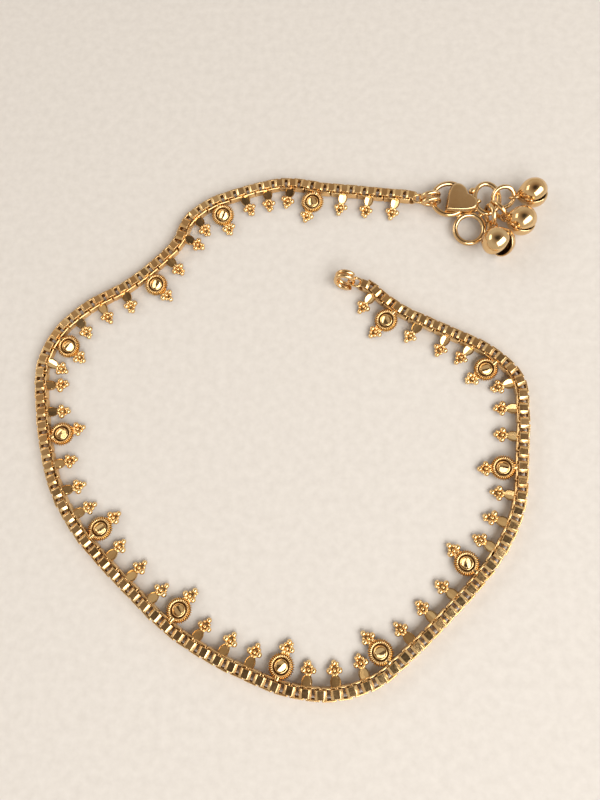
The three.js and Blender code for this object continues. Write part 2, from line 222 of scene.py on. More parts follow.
# From the plate's underside to its top: scale about its middle, height, tone; the tone paints shade on
# the underside, the walls and the bevel
HEART_LAYERS = [
    (1.0, 1.0, 0.5), (1.04, 1.06, 0.5), (1.05, 1.16, 0.5), (1.05, 2.0, 0.5), (1.035, 2.14, 0.5),
    (1.0, 2.28, 0.5), (0.955, 2.42, 0.45), (0.92, 2.52, 0.3), (0.895, 2.57, 0), (0.86, 2.595, 0),
    (0.8, 2.6, 0), (0.4, 2.6, 0),
]
# Solder drops: x, y, z, radius; then their flattening, how deep and fine their ripples are, and the
# heights over their middles at which their painted shade begins and is full
SOLDER = [
    (31.55, 39.15, 1.85, 0.62), (31.95, 38.6, 1.7, 0.42), (32.35, 37.05, 1.95, 0.60),
    (29.1, 34.85, 1.25, 0.58), (29.75, 34.55, 1.2, 0.42), (31.85, 35.75, 1.6, 0.46),
    (32.75, 34.75, 1.3, 0.46),
]
SOLDER_WIDTHS = (0.75, 0.95)
SOLDER_FLATNESS = 0.8
RIPPLE_DEPTH = 0.07
RIPPLE_FINENESS = 6
SOLDER_SHADE = (-0.1, -0.5)

# Bells: their rings, then the bells with each half's opening and the lower half's twist in degrees
BELL_RING_WIRE = 0.78
BELL_RINGS = [
    dict(centre=(36.8, 37.8, 1.75), along=(1, 0, 0), up=(0, 1, 0.9), radius=1.78),
    dict(centre=(35.62, 35.08, 2.18), along=(0.66, -0.75, 0.05), up=(-0.1, -0.08, 0.99), radius=1.76),
    dict(centre=(34.2, 34.2, 2.12), along=(0.22, -0.97, 0), up=(0.08, 0, 1), radius=1.72),
]
BELLS = [
    dict(centre=(41.72, 38.02, 2.64), slit_normal=(-0.52, 0.32, 0.72), radius=2.3,
         open=(5, 8), twist=0, lean=(0, 0, 0)),
    dict(centre=(39.42, 32.84, 2.56), slit_normal=(-0.1, 0.4, 0.9), radius=2.33,
         open=(4, 6), twist=0, lean=(0, 0, 0)),
    dict(centre=(34.85, 28.65, 3.1), slit_normal=(-0.68, 0.35, 0.64), radius=2.42,
         open=(10, 17), twist=24, lean=(0.22, 0.02, -0.02)),
]
BELL_WALL = 0.3
HALF_GAP = 0.02
# How far a half's neck is drawn out, and the share of its radius from which it is
BELL_NOSE = 0.45
NOSE_FROM = 0.55
# Angles from the pole at which the outer wall begins and the inner one ends, and the angle by which
# the outer wall stops short of the rim
OUTER_POLE = 0.12
INNER_POLE = 0.15
RIM_ANGLE = 0.03
RIM_FLATNESS = 0.8
DENTS = 0.006
NECK_SIZE = (0.62, 0.95, 0.9)
SADDLE_ANGLE = math.radians(58)
SADDLE_SIZE = (0.78, 0.52, 0.26)
SADDLE_DEPTH = 0.12
SHANK_RADIUS = 0.72
SHANK_WIRE = 0.42
SHANK_SLACK = 0.15

# Stage, in metres
FLOOR_HALF = 4.0
FLOOR_HEIGHT = -0.00003
HORIZON = (0.62, 0.58, 0.52, 1)
UPPER_SKY = (0.34, 0.265, 0.20, 1)
ZENITH = (0.05, 0.04, 0.034, 1)
# How steep a direction is, as its Z, where the sky's colours begin to change and where they have changed
HORIZON_RISE = 0.5
UPPER_RISE = 0.87
ZENITH_RISE = 0.985

# Camera: its stand in the plan, its right, up and back directions, and its lens
CAMERA_STAND = (8.17, -22.0, 103.6)
CAMERA_AXES = ((0.99785, 0.0, -0.06553), (0.01514, 0.97294, 0.23058), (0.06376, -0.23108, 0.97085))
CAMERA_LENS = 28.8
SENSOR_WIDTH = 36.0
CLIP_START = 0.005


# Small vector helpers

def unit(v):
    v = np.asarray(v, float)
    return v / np.linalg.norm(v)


def unit_rows(rows):
    return rows / np.linalg.norm(rows, axis=1)[:, None]


def turned(v, axis, angle):
    """v turned about a unit axis."""
    c, s = math.cos(angle), math.sin(angle)
    return v * c + np.cross(axis, v) * s + axis * np.dot(axis, v) * (1 - c)


def square_to(v, axis):
    """The unit direction of v's part square to a unit axis."""
    return unit(np.array(v) - axis * np.dot(v, axis))


def angles_round(count):
    """Equal steps round a full turn."""
    return np.arange(count) * 2 * math.pi / count


class Place:
    """Three axes and an origin, which turn local points into plan points."""

    def __init__(self, x, y, z, origin):
        self.axes = np.array([x, y, z], float)
        self.origin = np.array(origin, float)

    def __call__(self, points):
        return np.asarray(points, float) @ self.axes + self.origin


def ring_place(centre, along, up):
    x = unit(along)
    z = unit(np.cross(x, up))
    return Place(x, np.cross(z, x), z, centre)


# Mesh building

class Shape:
    """One joined mesh made of closed bodies, with a tone at each point."""

    def __init__(self):
        self.points, self.faces, self.tones, self.count = [], [], [], 0

    def add(self, points, faces, tone=0.0):
        points = np.asarray(points, float)
        faces = [tuple(f) for f in faces]
        if signed_volume(points, faces) < 0:
            faces = [f[::-1] for f in faces]
        self.points.append(points)
        self.tones.append(np.broadcast_to(np.asarray(tone, float), (len(points),)))
        self.faces.extend(tuple(i + self.count for i in f) for f in faces)
        self.count += len(points)


def signed_volume(points, faces):
    total = 0.0
    for f in faces:
        a = points[f[0]]
        for i in range(1, len(f) - 1):
            total += np.dot(a, np.cross(points[f[i]], points[f[i + 1]]))
    return total


def ring_faces(rows, cols, wrap_rows=False):
    """Faces between neighbouring rings of points, and between the last and the first if they wrap."""
    faces = []
    for i in range(rows if wrap_rows else rows - 1):
        for j in range(cols):
            a, b = i * cols + j, i * cols + (j + 1) % cols
            c, d = ((i + 1) % rows) * cols + (j + 1) % cols, ((i + 1) % rows) * cols + j
            faces.append((a, b, c, d))
    return faces


def closed_rings(rings, first_pole, last_pole):
    """A closed body from rings of points and a pole at each end."""
    rows, cols = len(rings), len(rings[0])
    points = np.vstack([*rings, [first_pole], [last_pole]])
    faces = ring_faces(rows, cols)
    first, last, last_ring = rows * cols, rows * cols + 1, (rows - 1) * cols
    for j in range(cols):
        k = (j + 1) % cols
        faces.append((first, k, j))
        faces.append((last, last_ring + j, last_ring + k))
    return points, faces


def sweep(path, normals, binormals, section, closed):
    """Points and faces of a section carried along a path."""
    path, normals, binormals, section = (np.asarray(a, float) for a in (path, normals, binormals, section))
    rings = (path[:, None] + normals[:, None] * section[None, :, :1]
             + binormals[:, None] * section[None, :, 1:])
    if closed:
        return rings.reshape(-1, 3), ring_faces(len(path), len(section), True)
    return closed_rings(rings, path[0], path[-1])


def disc_section(radius, sides):
    a = angles_round(sides)
    return np.stack([radius * np.cos(a), radius * np.sin(a)], 1)


def ring_mesh(wide, high, wire, steps, sides):
    """A closed wire ring in its own XY plane."""
    a = angles_round(steps)
    path = np.stack([wide * np.cos(a), high * np.sin(a), 0 * a], 1)
    normals = unit_rows(np.stack([np.cos(a) * high, np.sin(a) * wide, 0 * a], 1))
    return sweep(path, normals, np.tile(Z, (steps, 1)), disc_section(wire / 2, sides), True)


def ball_mesh(centre, radii, around, down):
    """A ball or a flattened ball, with its poles along Z."""
    a = angles_round(around)
    rings = []
    for i in range(1, down):
        t = math.pi * i / down
        rings.append(np.stack([math.sin(t) * np.cos(a), math.sin(t) * np.sin(a), 0 * a + math.cos(t)], 1))
    points, faces = closed_rings(rings, Z, -Z)
    return points * np.asarray(radii, float) + np.asarray(centre, float), faces


def layered(outline, layers, bottom, top):
    """A closed body from layers of an outline, each a scale about its middle and the heights of its
    points, and the heights of its two poles."""
    rings = [np.column_stack([outline * scale, np.broadcast_to(height, len(outline))])
             for scale, height in layers]
    return closed_rings(rings, (0, 0, bottom), (0, 0, top))


def depth_tone(height, clear, dark):
    """Painted shade by height: 0 above the clear height, 1 below the dark one."""
    return np.clip((clear - height) / (clear - dark), 0, 1)


# Chain line, a centripetal spline through the route as in the CAD source

def spline(points, divisions):
    points = np.array(points, float)
    count = len(points)
    ends = np.vstack([2 * points[0] - points[1], points, 2 * points[-1] - points[-2]])
    out = []
    for step in range(divisions + 1):
        where = (count - 1) * step / divisions
        i = min(int(where), count - 2)
        w = where - i
        p0, p1, p2, p3 = ends[i:i + 4]
        d0, d1, d2 = (np.linalg.norm(b - a) ** 0.5 for a, b in ((p0, p1), (p1, p2), (p2, p3)))
        t1 = ((p1 - p0) / d0 - (p2 - p0) / (d0 + d1) + (p2 - p1) / d1) * d1
        t2 = ((p2 - p1) / d1 - (p3 - p1) / (d1 + d2) + (p3 - p2) / d2) * d1
        square, cube = 3 * (p2 - p1) - 2 * t1 - t2, 2 * (p1 - p2) + t1 + t2
        out.append(p1 + t1 * w + square * w ** 2 + cube * w ** 3)
    return np.array(out)


LINE = spline(ROUTE, SPLINE_STEPS)
LINE_ARC = np.concatenate([[0], np.cumsum(np.linalg.norm(np.diff(LINE, axis=0), axis=1))])
FIRST_WINDOW = LINE_ARC[round(ROUTE_START * SPLINE_STEPS / (len(ROUTE) - 1))]


def chain_point(arc):
    """Point of the chain's middle line, run on straight past its ends."""
    length = LINE_ARC[-1]
    inside = min(max(arc, 0.0), length)
    x, y = (np.interp(inside, LINE_ARC, LINE[:, i]) for i in (0, 1))
    at = np.array([x, y, CHAIN_MIDDLE])
    if arc < 0:
        at[:2] += arc * unit(LINE[1] - LINE[0])
    if arc > length:
        at[:2] += (arc - length) * unit(LINE[-1] - LINE[-2])
    return at


def chain_tangent(arc):
    return unit(chain_point(arc + TANGENT_REACH) - chain_point(arc - TANGENT_REACH))


# Box chain

def rounded_loop(corners, radius, steps=4):
    """Middles of the rounded corners of a convex loop, and the outward directions round them. The
    corners given are those of its first quarter, from its top to its side."""
    quarter = np.array(corners, float)
    outline = np.vstack([quarter[::-1], quarter * (-1, 1), quarter[::-1] * (-1, -1), quarter * (1, -1)])
    sides = np.roll(outline, -1, axis=0) - outline
    turns = np.unwrap(np.arctan2(sides[:, 1], sides[:, 0])) - math.pi / 2
    centres, directions = [], []
    for i, corner in enumerate(outline):
        before, after = turns[i - 1] - (2 * math.pi if i == 0 else 0), turns[i]
        middle, half = (before + after) / 2, (after - before) / 2
        centre = corner - radius / math.cos(half) * np.array([math.cos(middle), math.sin(middle)])
        for step in range(steps):
            a = before + (after - before) * step / (steps - 1)
            centres.append(centre)
            directions.append((math.cos(a), math.sin(a)))
    return np.array(centres), np.array(directions)


def link_mesh(width, corners, bend, edge):
    """A loop of flat strip, with the loop in XY and the strip's width along Z, and its tone, painted shade on
    its inner face.
    """
    centres, directions = rounded_loop(corners, bend)
    half_thick, half_wide = STRIP_THICKNESS / 2, width / 2
    section = []
    for quarter, (sx, sy) in enumerate(((1, 1), (-1, 1), (-1, -1), (1, -1))):
        for step in range(3):
            a = (quarter + step / 2) * math.pi / 2
            section.append((sx * (half_thick - edge) + edge * math.cos(a),
                            sy * (half_wide - edge) + edge * math.sin(a)))
    normals = np.column_stack([directions, np.zeros(len(directions))])
    path = np.column_stack([centres, np.zeros(len(centres))]) + (bend - half_thick) * normals
    points, faces = sweep(path, normals, np.tile(Z, (len(path), 1)), section, True)
    # The tone paints shade on the strip's inner face, darkening the links' insides
    inward = -np.array(section)[:, 0]
    tone = np.clip((inward - INSIDE_FROM) / INSIDE_FADE, 0, INSIDE_SHADE)
    return points, faces, np.tile(tone, len(path))


def chain_links():
    """The whole chain, a flat link and an upright one by turns."""
    shape = Shape()
    rng = np.random.default_rng(CHAIN_SEED)
    flat, upright = link_mesh(**FLAT_LINK), link_mesh(**UPRIGHT_LINK)
    for k in range(-1, 2 * WINDOWS):
        arc = FIRST_WINDOW + k * PITCH / 2
        along = chain_tangent(arc)
        across = np.cross(Z, along)
        roll, yaw, nod = rng.normal(0, LINK_SWAY, 3) * math.pi / 180
        along = turned(along, Z, yaw)
        across = turned(turned(across, Z, yaw), along, roll)
        along = turned(along, across, NOD_SHARE * nod)
        up = np.cross(along, across)
        origin = chain_point(arc) + across * rng.normal(0, LINK_SHIFT)
        if k % 2 == 0:
            place, (points, faces, tone) = Place(along, across, up, origin), flat
        else:
            place, (points, faces, tone) = Place(along, up, -across, origin), upright
        points = place(points)
        points[:, 2] = np.maximum(points[:, 2], 0.0)
        shape.add(points, faces, tone)
    return shape


# Drops

def drop_place(j, lean, tip):
    """Place of drop j: its own X runs inwards from the chain's middle line and slopes down."""
    arc = FIRST_WINDOW + PITCH / 2 + j * 2 * PITCH
    inward = turned(np.cross(chain_tangent(arc), Z), Z, math.radians(lean))
    across = np.cross(Z, inward)
    slope = math.asin((ROOT_HEIGHT - TIP_HEIGHT) / (tip - DROP_ROOT))
    along = turned(inward, across, slope)
    root = chain_point(arc) * (1, 1, 0) + inward * DROP_ROOT + Z * ROOT_HEIGHT
    return Place(along, across, np.cross(along, across), root - along * DROP_ROOT)


def add_ball(shape, place, centre, radii, clear=0.08, around=14, down=9):
    """A small ball with painted shade below the clear height."""
    points, faces = ball_mesh(centre, radii, around, down)
    shape.add(place(points), faces, depth_tone(points[:, 2], clear, clear - BALL_SHADE))


def add_backing(shape, place, half_outline):
    """A thin cast backing with mirrored sides, evenly darkened as painted shade."""
    upper = np.array(half_outline)
    outline = np.vstack([upper, upper[::-1] * (1, -1)])
    middle = np.array([upper[:, 0].mean(), 0])
    low, high = BACKING_LOW, BACKING_HIGH
    layers = [(0.9, low), (1.0, low + BACKING_BEVEL), (1.0, high - BACKING_BEVEL), (0.88, high)]
    points, faces = layered(outline - middle, layers, low, high)
    shape.add(place(points + (*middle, 0)), faces, BACKING_SHADE)


def add_cluster(shape, place, local, start, side_x, tip_x):
    """The group of balls at the end of a drop, from its two side balls to its tip."""
    lean = local.normal(0, CLUSTER_LEAN_SPREAD)
    tip = np.array([tip_x + local.normal(0, TIP_SPREAD), lean, 0.0])
    add_backing(shape, place, [
        (start - 0.2, 0.26), (start + 0.2, 0.36), (side_x - 0.2, 0.78), (side_x + 0.2, 0.78),
        (side_x + 0.5, 0.4), (tip_x - 0.1, 0.26), (tip_x + 0.15, 0.14),
    ])
    small_x = side_x + SMALL_SHARE * (tip_x - side_x)
    for side in (-1, 1):
        size = SIDE_BALL * local.uniform(*SIDE_SIZES)
        side_at = (side_x + local.normal(0, SIDE_SPREAD), side * SIDE_OFF, 0.0)
        add_ball(shape, place, side_at, (size, size, size * 0.95))
        add_ball(shape, place, (side_x - NECK_BACK, side * NECK_OFF, -0.04), NECK_BALL)
        size = SMALL_BALL * local.uniform(*SMALL_SIZES)
        add_ball(shape, place, (small_x, side * SMALL_OFF + lean, -0.04), (size, size, size))
    add_ball(shape, place, (side_x + 0.05, 0, -0.06), MIDDLE_BALL, 0.15)
    add_ball(shape, place, tip, TIP_BALL)
    if local.random() < SPARE_CHANCE:
        side = local.choice((-1, 1))
        add_ball(shape, place, tip + (-0.12, side * SPARE_OFF, -0.05), SPARE_BALL)


def leaf_outline(sides=36):
    a = angles_round(sides)
    taper = 1 - LEAF_TAPER * np.cos(a)
    return np.stack([LEAF_HALF_LENGTH * np.cos(a), LEAF_HALF_WIDTH * np.sin(a) * taper], 1)


def add_leaf(shape, j, lean):
    """A leaf with a raised rim round its tilted facets, creased along the middle where it is dished."""
    place = drop_place(j, lean, LEAF_TIP)
    local = np.random.default_rng(LEAF_SEED + j)
    outline = leaf_outline()
    at_right = place.origin[0] > RIGHT_PART
    at_top = place.origin[1] > TOP_PART
    tilt_x = local.uniform(*(NEAR_TILTS if at_right or at_top else FAR_TILTS))
    tilt_y = local.normal(0, SIDE_TILT_SPREAD)
    dished = local.random() < (DISHED_CHANCE_RIGHT if at_right else DISHED_CHANCE)
    ridge = local.uniform(*DISHED_RIDGES) if dished else PLAIN_RIDGE

    def facet(x, y):
        return FACET_HEIGHT + tilt_x * x + tilt_y * y + ridge * (FACET_CREASE - np.abs(y) / LEAF_HALF_WIDTH)

    layers = [((sx, sy), height) for sx, sy, height, _ in LEAF_RIM]
    layers += [((sx, sy), facet(*(outline * (sx, sy)).T)) for sx, sy, _ in LEAF_FACETS]
    # The tones paint shade on the leaf's back and in the groove inside its rim
    tones = [row[-1] for row in (*LEAF_RIM, *LEAF_FACETS)]
    points, faces = layered(outline, layers, LEAF_RIM[0][2], facet(0, 0))
    tone = np.append(np.repeat(tones, len(outline)), (tones[0], tones[-1]))
    shape.add(place(points + (LEAF_MIDDLE, 0, 0)), faces, tone)
    x, y, radii = LEAF_ROOT_BALL
    add_ball(shape, place, (x, local.choice((-1, 1)) * y, 0.0), radii)
    x, y, radii = LEAF_END_BALL
    for side in (-1, 1):
        add_ball(shape, place, (x, side * y, 0.02), radii)
    add_cluster(shape, place, local, **LEAF_CLUSTER)


def add_rosette(shape, j, lean):
    """A rosette with a roped rim and a knob, whose top is flat apart from two cuts."""
    place = drop_place(j, lean, ROSETTE_TIP)
    local = np.random.default_rng(ROSETTE_SEED + j)
    angles = angles_round(ROPE_RIDGES * POINTS_PER_RIDGE)
    ridge = 0.5 + 0.5 * np.cos(angles * ROPE_RIDGES)
    # Painted shade in the valleys between the rim's ridges
    valley_shade = np.clip(1 - VALLEY_FADE * ridge, 0, 1)
    cuts = local.uniform(0, 2 * math.pi) + np.array([0, CUT_TURN])
    flat_x, flat_y = local.normal(0, KNOB_TILT_SPREAD, 2)
    nod_x, nod_y = local.normal(0, ROSETTE_NOD_SPREAD, 2)
    rings, tones = [], []
    for radius, height, rope, tone in ROSETTE_SECTION:
        r = radius + rope * RIDGE_DEPTH * (ridge - RIDGE_BASE)
        x, y = r * np.cos(angles), r * np.sin(angles)
        z = height + rope * RIDGE_HEIGHT * (ridge - RIDGE_BASE) + nod_x * x + nod_y * y
        if radius < KNOB_RADIUS:
            z = np.minimum(z, KNOB_TOP + flat_x * x + flat_y * y)
            for cut, start in zip(cuts, CUT_STARTS):
                z = np.minimum(z, KNOB_TOP - CUT_SLOPE * (x * math.cos(cut) + y * math.sin(cut) - start))
        rings.append(np.stack([x, y, z], 1))
        tones.append(np.clip(tone + rope * valley_shade, 0, 1))
    points, faces = closed_rings(rings, (0, 0, ROSETTE_SECTION[0][1]), (0, 0, KNOB_TOP))
    shape.add(place(points + (ROSETTE_CENTRE, 0, 0)), faces, np.concatenate([*tones, [1.0, 0.0]]))
    add_strap(shape, place)
    for x, y in STRANDS:
        add_ball(shape, place, (x, y, -0.02), STRAND, 0.02)
    add_cluster(shape, place, local, **ROSETTE_CLUSTER)


def add_strap(shape, place):
    """The folded strap that carries a rosette from its link."""
    path = np.array(STRAP_PATH)
    steps = unit_rows(np.gradient(path, axis=0))
    centre = np.column_stack([path[:, 0], 0 * path[:, 0], path[:, 1]])
    normals = np.column_stack([-steps[:, 1], 0 * path[:, 0], steps[:, 0]])
    points, faces = sweep(centre, normals, np.tile(Y, (len(path), 1)), STRAP_SECTION, False)
    shape.add(place(points), faces, depth_tone(points[:, 2], *STRAP_SHADE))
    x, y, radii = STRAP_BALL
    for side in (-1, 1):
        add_ball(shape, place, (x, side * y, 0.04), radii, -0.1, around=10, down=6)


# Rings and clasp

def coil_shape(ring):
    place = ring_place(ring["centre"], ring["along"], ring["up"])
    t = np.linspace(0, 1, 96)
    a = ring["gap_at"] + (2 - COIL_TURNS) * math.pi + t * COIL_TURNS * 2 * math.pi
    rise = (t - 0.5) * COIL_TURNS * ring["pitch"]
    path = np.stack([ring["wide"] * np.cos(a), ring["high"] * np.sin(a), rise], 1)
    tangents = unit_rows(np.gradient(path, axis=0))
    side = unit_rows(np.cross(tangents, unit_rows(path * (1, 1, 0))))
    points, faces = sweep(path, np.cross(side, tangents), side, disc_section(COIL_WIRE / 2, 14), False)
    shape = Shape()
    shape.add(place(points), faces)
    return shape


def end_link_shape(link, towards):
    """The small wire link between the chain's last link and a coil."""
    along = unit((np.array(towards) - link["centre"]) * (1, 1, 0))
    place = ring_place(link["centre"], along, np.cross(Z, along))
    shape = Shape()
    points, faces = ring_mesh(link["wide"], link["high"], END_LINK_WIRE, 40, 12)
    shape.add(place(points), faces)
    add_ball(shape, place, (0.1, -link["high"], 0), END_SOLDER, -0.1)
    return shape


def bezier(a, b, c, d, steps):
    t = np.linspace(0, 1, steps, endpoint=False)[:, None]
    a, b, c, d = (np.array(p, float) for p in (a, b, c, d))
    return a * (1 - t) ** 3 + 3 * b * t * (1 - t) ** 2 + 3 * c * t ** 2 * (1 - t) + d * t ** 3


def heart_outline():
    half = np.vstack([bezier(*curve, 18) for curve in HEART_CURVES])
    cleft = HEART_CURVES[-1][-1]
    return np.vstack([half, [cleft], half[:0:-1] * (1, -1)])


def heart_clasp_shape():
    """The heart plate, its three wire rings and the solder drops beside it."""
    shape = Shape()
    for ring in CLASP_RINGS:
        tilt = ring["tilt"]
        place = Place(X, turned(Y, X, tilt), turned(Z, X, tilt), ring["centre"])
        points, faces = ring_mesh(ring["wide"], ring["high"], CLASP_WIRE, 72, 18)
        shape.add(place(points), faces)
    axis = np.array([math.cos(HEART_AXIS), math.sin(HEART_AXIS), 0])
    place = Place(axis, np.cross(Z, axis), Z, (*HEART_TIP, 0))
    outline = heart_outline() * HEART_SCALE - HEART_MIDDLE
    layers = [(scale, height) for scale, height, _ in HEART_LAYERS]
    tones = [tone for _, _, tone in HEART_LAYERS]
    points, faces = layered(outline, layers, layers[0][1], layers[-1][1])
    tone = np.append(np.repeat(tones, len(outline)), (tones[0], tones[-1]))
    shape.add(place(points + (*HEART_MIDDLE, 0)), faces, tone)
    for k, (x, y, z, radius) in enumerate(SOLDER):
        local = np.random.default_rng(SOLDER_SEED + k)
        radii = (radius, radius * local.uniform(*SOLDER_WIDTHS), radius * SOLDER_FLATNESS)
        points, faces = ball_mesh((0, 0, 0), radii, 22, 14)
        points += RIPPLE_DEPTH * radius * np.sin(points[:, [1, 2, 0]] * RIPPLE_FINENESS + k)
        shape.add(points + (x, y, z), faces, depth_tone(points[:, 2], *SOLDER_SHADE))
    return shape


# Bells

def bell_ring_shape(ring):
    place = ring_place(ring["centre"], ring["along"], ring["up"])
    shape = Shape()
    points, faces = ring_mesh(ring["radius"], ring["radius"], BELL_RING_WIRE, 64, 16)
    shape.add(place(points), faces)
    return shape


def petal_mesh(radius, around=72):
    """Half a hollow ball with a rounded rim, its pole along Z and its neck drawn out along -X."""
    inner = radius - BELL_WALL
    rim = BELL_WALL / 2
    a = angles_round(around)
    profile = [(radius * math.sin(t), radius * math.cos(t), 0.0)
               for t in np.linspace(OUTER_POLE, math.pi / 2 - RIM_ANGLE, 20)]
    profile += [(inner + rim + rim * math.cos(t), -rim * math.sin(t) * RIM_FLATNESS, 0.0)
                for t in np.linspace(0, math.pi, 6)[1:-1]]
    # The inner wall has full tone: painted shade inside the bell
    profile += [(inner * math.sin(t), inner * math.cos(t), 1.0)
                for t in np.linspace(math.pi / 2, INNER_POLE, 12)]
    rings = [np.stack([r * np.cos(a), r * np.sin(a), 0 * a + h], 1) for r, h, _ in profile]
    points, faces = closed_rings(rings, (0, 0, radius), (0, 0, inner))
    tone = np.append(np.repeat([tone for _, _, tone in profile], around), (0.0, 1.0))
    back = np.maximum(-points[:, 0] / radius - NOSE_FROM, 0) / (1 - NOSE_FROM)
    points[:, 0] -= BELL_NOSE * back ** 2
    # Shallow unevenness of pressed sheet
    x, y = points[:, 0], points[:, 1]
    uneven = np.sin(x * 1.9 + 0.7) * np.sin(y * 2.3 + 1.1) + 0.5 * np.sin(y * 4.1)
    return points * (1 + DENTS * uneven[:, None]), faces, tone


def bell_shape(bell, ring):
    """A bell of two halves with its neck, and the shank loop round its ring."""
    radius = bell["radius"]
    shank_at = np.array(ring["centre"]) + unit(ring["along"]) * ring["radius"]
    centre = np.array(bell["centre"])
    axis = unit(unit(centre - shank_at) + bell["lean"])
    normal = square_to(bell["slit_normal"], axis)
    base = centre - axis * radius
    shape = Shape()
    points, faces, tone = petal_mesh(radius)
    for sign, opening, twist in zip((1, -1), bell["open"], (0, bell["twist"])):
        facing = turned(normal, axis, math.radians(twist))
        hinge = np.cross(facing, axis)
        swing = -sign * math.radians(opening)
        pole = sign * turned(facing, hinge, swing)
        out = turned(axis, hinge, swing)
        place = Place(out, np.cross(pole, out), pole, base + out * radius + pole * HALF_GAP)
        shape.add(place(points), faces, tone)
    add_neck(shape, centre, axis, np.cross(normal, axis), radius)
    add_shank(shape, base, shank_at, ring)
    return shape


def add_neck(shape, centre, axis, side, radius):
    """The neck, and the two saddles where the halves join at the ends of the slit."""
    place = Place(axis, side, np.cross(axis, side), centre - axis * radius)
    points, faces = ball_mesh((0.02, 0, 0), NECK_SIZE, 24, 14)
    shape.add(place(points), faces)
    points, faces = ball_mesh((0, 0, 0), SADDLE_SIZE, 20, 12)
    for way in (-1, 1):
        out = -axis * math.cos(SADDLE_ANGLE) + side * way * math.sin(SADDLE_ANGLE)
        tangent = unit(np.cross(np.cross(out, axis), out))
        place = Place(tangent, np.cross(out, tangent), out, centre + out * (radius - SADDLE_DEPTH))
        shape.add(place(points), faces)


def add_shank(shape, base, shank_at, ring):
    """The wire loop from a bell's neck round the bell's ring."""
    wire_up = square_to(ring["up"], unit(ring["along"]))
    reach = np.linalg.norm(base - shank_at)
    link = unit(base - shank_at)
    half = max((reach + SHANK_RADIUS + SHANK_SLACK) / 2, SHANK_RADIUS)
    across = unit(np.cross(wire_up, link))
    place = Place(link, across, np.cross(link, across), shank_at + link * (half - SHANK_RADIUS))
    points, faces = ring_mesh(half, SHANK_RADIUS, SHANK_WIRE, 40, 12)
    shape.add(place(points), faces)


# Materials

class Nodes:
    """Short names for building a node tree."""

    def __init__(self, tree):
        self.tree = tree
        tree.nodes.clear()

    def new(self, kind, inputs=(), **settings):
        """A node whose inputs are linked to other nodes' outputs or set to constants."""
        node = self.tree.nodes.new(kind)
        for name, value in settings.items():
            setattr(node, name, value)
        for key, value in dict(inputs).items():
            if isinstance(value, bpy.types.NodeSocket):
                self.tree.links.new(value, node.inputs[key])
            else:
                node.inputs[key].default_value = value
        return node

    def noise(self, coordinates, scale, detail, roughness=0.55):
        return self.new("ShaderNodeTexNoise", {
            "Vector": coordinates, "Scale": scale, "Detail": detail, "Roughness": roughness,
        }).outputs["Fac"]

    def ranged(self, value, low, high, to_low=0.0, to_high=1.0):
        return self.new("ShaderNodeMapRange", {
            "Value": value, "From Min": low, "From Max": high, "To Min": to_low, "To Max": to_high,
        }).outputs["Result"]

    def mixed(self, fraction, a, b):
        """Mixed colours, which are the mix node's inputs 6 and 7 and its output 2."""
        return self.new("ShaderNodeMix", {0: fraction, 6: a, 7: b}, data_type="RGBA").outputs[2]

    def maths(self, operation, a, b):
        return self.new("ShaderNodeMath", {0: a, 1: b}, operation=operation, use_clamp=True).outputs[0]


def new_material(name):
    """A material, its empty node tree and the coordinates of the object."""
    material = bpy.data.materials.new(name)
    material.use_nodes = True
    n = Nodes(material.node_tree)
    return material, n, n.new("ShaderNodeTexCoord").outputs["Object"]


def gold(name, bright, warm, dark, polish, grain):
    """Plated metal: warm patches, painted shade from the mesh's tone, fine grain and scattered wear."""
    material, n, where = new_material(name)
    tone = n.new("ShaderNodeAttribute", attribute_name="tone").outputs["Fac"]
    patches = n.noise(where, scale=260.0, detail=3.0)
    speckle = n.noise(where, scale=2600.0, detail=4.0, roughness=0.65)
    fine = n.noise(where, scale=9000.0, detail=2.0)
    colour = n.mixed(n.ranged(patches, 0.38, 0.62), (*bright, 1), (*warm, 1))
    # Painted shade where the mesh's tone is high, broken up by speckle, then real worn spots; both go towards
    # the dark colour
    painted_shade = n.maths("MULTIPLY", tone, n.ranged(speckle, 0.3, 0.6, 0.6, 1.0))
    shade_and_wear = n.maths("ADD", painted_shade, n.ranged(speckle, 0.62, 0.78, 0.0, 0.25))
    colour = n.mixed(shade_and_wear, colour, (*dark, 1))
    rough = n.maths("ADD", n.ranged(speckle, 0.3, 0.7, polish, polish + 0.1), n.maths("MULTIPLY", tone, 0.28))
    height = n.maths("ADD", n.maths("MULTIPLY", speckle, 0.7), n.maths("MULTIPLY", fine, 0.3))
    bump = n.new("ShaderNodeBump", {"Height": height, "Strength": grain, "Distance": 0.00004})
    shader = n.new("ShaderNodeBsdfPrincipled", {
        "Base Color": colour, "Roughness": rough, "Metallic": 1.0, "Normal": bump.outputs["Normal"],
    })
    n.new("ShaderNodeOutputMaterial", {"Surface": shader.outputs["BSDF"]})
    return material


def floor_material():
    """Pale matt paper with faint fibres."""
    material, n, where = new_material("pale_floor")
    fibres = n.noise(where, scale=700.0, detail=4.0)
    colour = n.mixed(n.ranged(fibres, 0.3, 0.7), (0.64, 0.61, 0.58, 1), (0.70, 0.67, 0.64, 1))
    bump = n.new("ShaderNodeBump", {"Height": fibres, "Strength": 0.15, "Distance": 0.0002})
    shader = n.new("ShaderNodeBsdfPrincipled", {
        "Base Color": colour, "Roughness": 0.85, "Normal": bump.outputs["Normal"],
    })
    n.new("ShaderNodeOutputMaterial", {"Surface": shader.outputs["BSDF"]})
    return material


